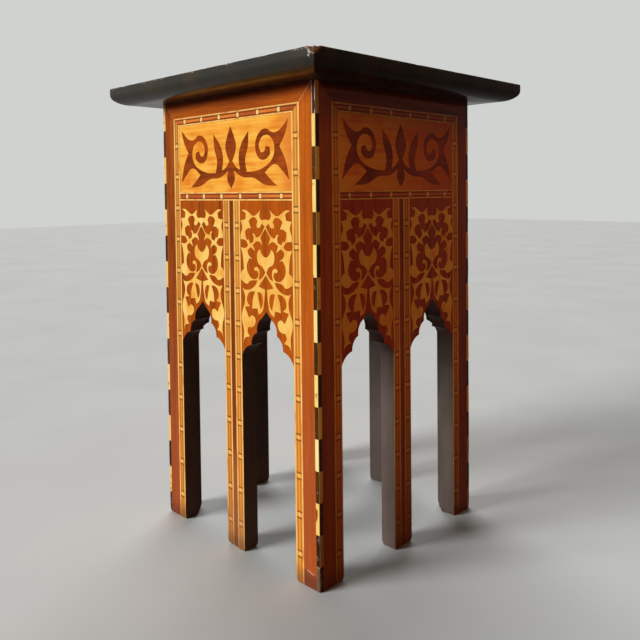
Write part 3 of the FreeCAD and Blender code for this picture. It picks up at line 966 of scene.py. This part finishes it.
colour = (rubbed * 0.9).mix(colour, specks.mix(rubbed_dark, rubbed_wood))
scratch = 1 - abs(across - scratch_across + (specks - 0.5) * 8).rise(0.4, 1.2)
scratch = scratch * (1 - abs(height - scratch_height).rise(1.5, 4)) * (1 - along.above(scratch_end))
colour = chips.most(scratch * 0.8).mix(colour, chipped_wood)
roughness = 0.26 + clouds.rise(0.4, 0.8) * 0.16 + chips * 0.4 + rubbed * 0.3
relief = moved.streaks(34, 34, 2) * 3 + fibre * 0.1
coat(shader, colour, roughness, relief, 0.06, polish_roughness=0.22, specular=0.01)
# The polish has gone dull along the right-hand edge.
dulled = (across - abs(along)).above(0.0)
ebonised.node_tree.links.new((0.48 - dulled * 0.42).socket, shader.inputs["Coat Weight"])
set_up("moulded_top", smooth_data(mesh, "moulded_top", top_sharp), ebonised, "top_board")

# Veneers on the upper side
# A mahogany crossband, boxwood lines, a banding and a quartered walnut field, let into the top
# and polished with it. The four leaves of the field meet on the diagonals.
quarter_turn = math.radians(90)
banding_red = shade(138, 62, 32)
banding_red_dark = shade(92, 36, 18)
for node in ("top_crossband", "top_field_veneer", "top_stringing", "top_banding"):
    wood, shader, place, moved = finish("upper_" + node, 0, 83)
    across, along, _ = place.axes()
    lies = (abs(along) - abs(across)).above(0.0)
    other_way = moved.node("Mapping", {}, {"Vector": moved, "Rotation": (0, 0, quarter_turn)})
    turned = lies.node("Mix", {"data_type": "VECTOR"}, {0: lies, 4: moved, 5: other_way}, 1)
    if node == "top_crossband":
        crossways = {"Vector": turned, "Rotation": (0, quarter_turn, quarter_turn)}
        colour, fibre = mahogany(turned.node("Mapping", {}, crossways), "x")
    elif node == "top_field_veneer":
        colour, fibre = walnut_veneer(turned, 5.5, "x")
        joint = 1 - abs(abs(across) - abs(along)).rise(0.2, 0.7)
        colour = (joint * 0.6).mix(colour, glue_dark)
    elif node == "top_stringing":
        colour, fibre = boxwood_line(turned)
    else:
        fibre = turned.streaks(0.9, 24, 4)
        nearer = abs(across).least(abs(along))
        spaced = abs((nearer / level_pitch).math("FRACT") - 0.5) * level_pitch
        colour = (fibre.rise(0.45, 0.7) * 0.5).mix(banding_red, banding_red_dark)
        colour = (1 - spaced.rise(2.2, 2.7)).mix(colour, knot_pale)
    polished(shader, moved, colour, fibre)
    dress(node, wood)

# Floor, light and camera
# A plain pale floor that throws a warm light back, a large soft window of light from the left, and
# the view of the photograph. A warm lamp on the right lights the table but not the floor, which
# stays grey. These sizes are in metres.
floor_reach = 8.0
floor_pale = shade(227, 231, 233)
floor_grey = shade(221, 225, 228)
floor_bounce = shade(114, 58, 18)
wall_pale = (0.63, 0.645, 0.628, 1.0)
wall_fill = (0.045, 0.034, 0.02, 1.0)
lamps = (("window", 3.2, 30, (1.0, 0.98, 0.95), (-0.4, -1.0, 0.36)),
         ("far_window", 1.5, 50, (1.0, 0.98, 0.95), (-0.9, 0.75, 1.0)),
         ("warm_lamp", 0.4, 30, (1.0, 0.36, 0.03), (1.0, 0.1, 1.1)))
eye = (0.62339, -0.62037, 0.39999)
yaw, pitch, roll = math.radians(44.8659), math.radians(1.9155), math.radians(-0.6287)


def in_view(tree):
    """1 for what the camera sees, also in a reflection or through glass, and 0 for other light."""
    rays = tree.nodes.new("ShaderNodeLightPath").outputs
    seen = Tone(rays["Is Camera Ray"])
    mirrored = Tone(rays["Is Glossy Ray"])
    clear = Tone(rays["Is Transmission Ray"])
    return seen.most(mirrored).most(clear)


data = bpy.data.meshes.new("floor")
corners = [(x * floor_reach, y * floor_reach, 0) for x, y in ((-1, -1), (1, -1), (1, 1), (-1, 1))]
data.from_pydata(corners, [], [(0, 1, 2, 3)])
floor = bpy.data.objects.new("floor", data)
bpy.context.scene.collection.objects.link(floor)
pale, shader, _, moved = finish("pale_floor")
mottle = moved.streaks(260, 260, 3)
colour = mottle.rise(0.3, 0.7).mix(floor_grey, floor_pale)
colour = in_view(pale.node_tree).mix(floor_bounce, colour)
coat(shader, colour, 0.7 + mottle * 0.1, mottle, 0.02, specular=0.1)
data.materials.append(pale)

world = bpy.data.worlds.new("studio")
world.use_nodes = True
bpy.context.scene.world = world
backdrop = world.node_tree.nodes["Background"]
wall = in_view(world.node_tree).mix(wall_fill, wall_pale)
world.node_tree.links.new(wall.socket, backdrop.inputs["Color"])

for name, strength, spread, tint, shines_from in lamps:
    lamp = bpy.data.lights.new(name, "SUN")
    lamp.energy = strength
    lamp.angle = math.radians(spread)
    lamp.color = tint
    light = bpy.data.objects.new(name, lamp)
    light.rotation_euler = (-Vector(shines_from)).to_track_quat("-Z", "Y").to_euler()
    bpy.context.scene.collection.objects.link(light)
    if name == "warm_lamp":
        unlit = bpy.data.collections.new("not_lit_by_" + name)
        unlit.objects.link(floor)
        unlit.collection_objects[0].light_linking.link_state = "EXCLUDE"
        light.light_linking.receiver_collection = unlit

camera_data = bpy.data.cameras.new("camera")
camera_data.sensor_width = 36.0
camera_data.lens = 39.775
camera_data.shift_y = -0.1632
camera = bpy.data.objects.new("camera", camera_data)
camera.matrix_world = (Matrix.Translation(eye) @ Matrix.Rotation(yaw, 4, "Z")
                       @ Matrix.Rotation(math.pi / 2 - pitch, 4, "X") @ Matrix.Rotation(roll, 4, "Z"))
bpy.context.scene.collection.objects.link(camera)
bpy.context.scene.camera = camera
bpy.context.scene.view_settings.view_transform = "Standard"
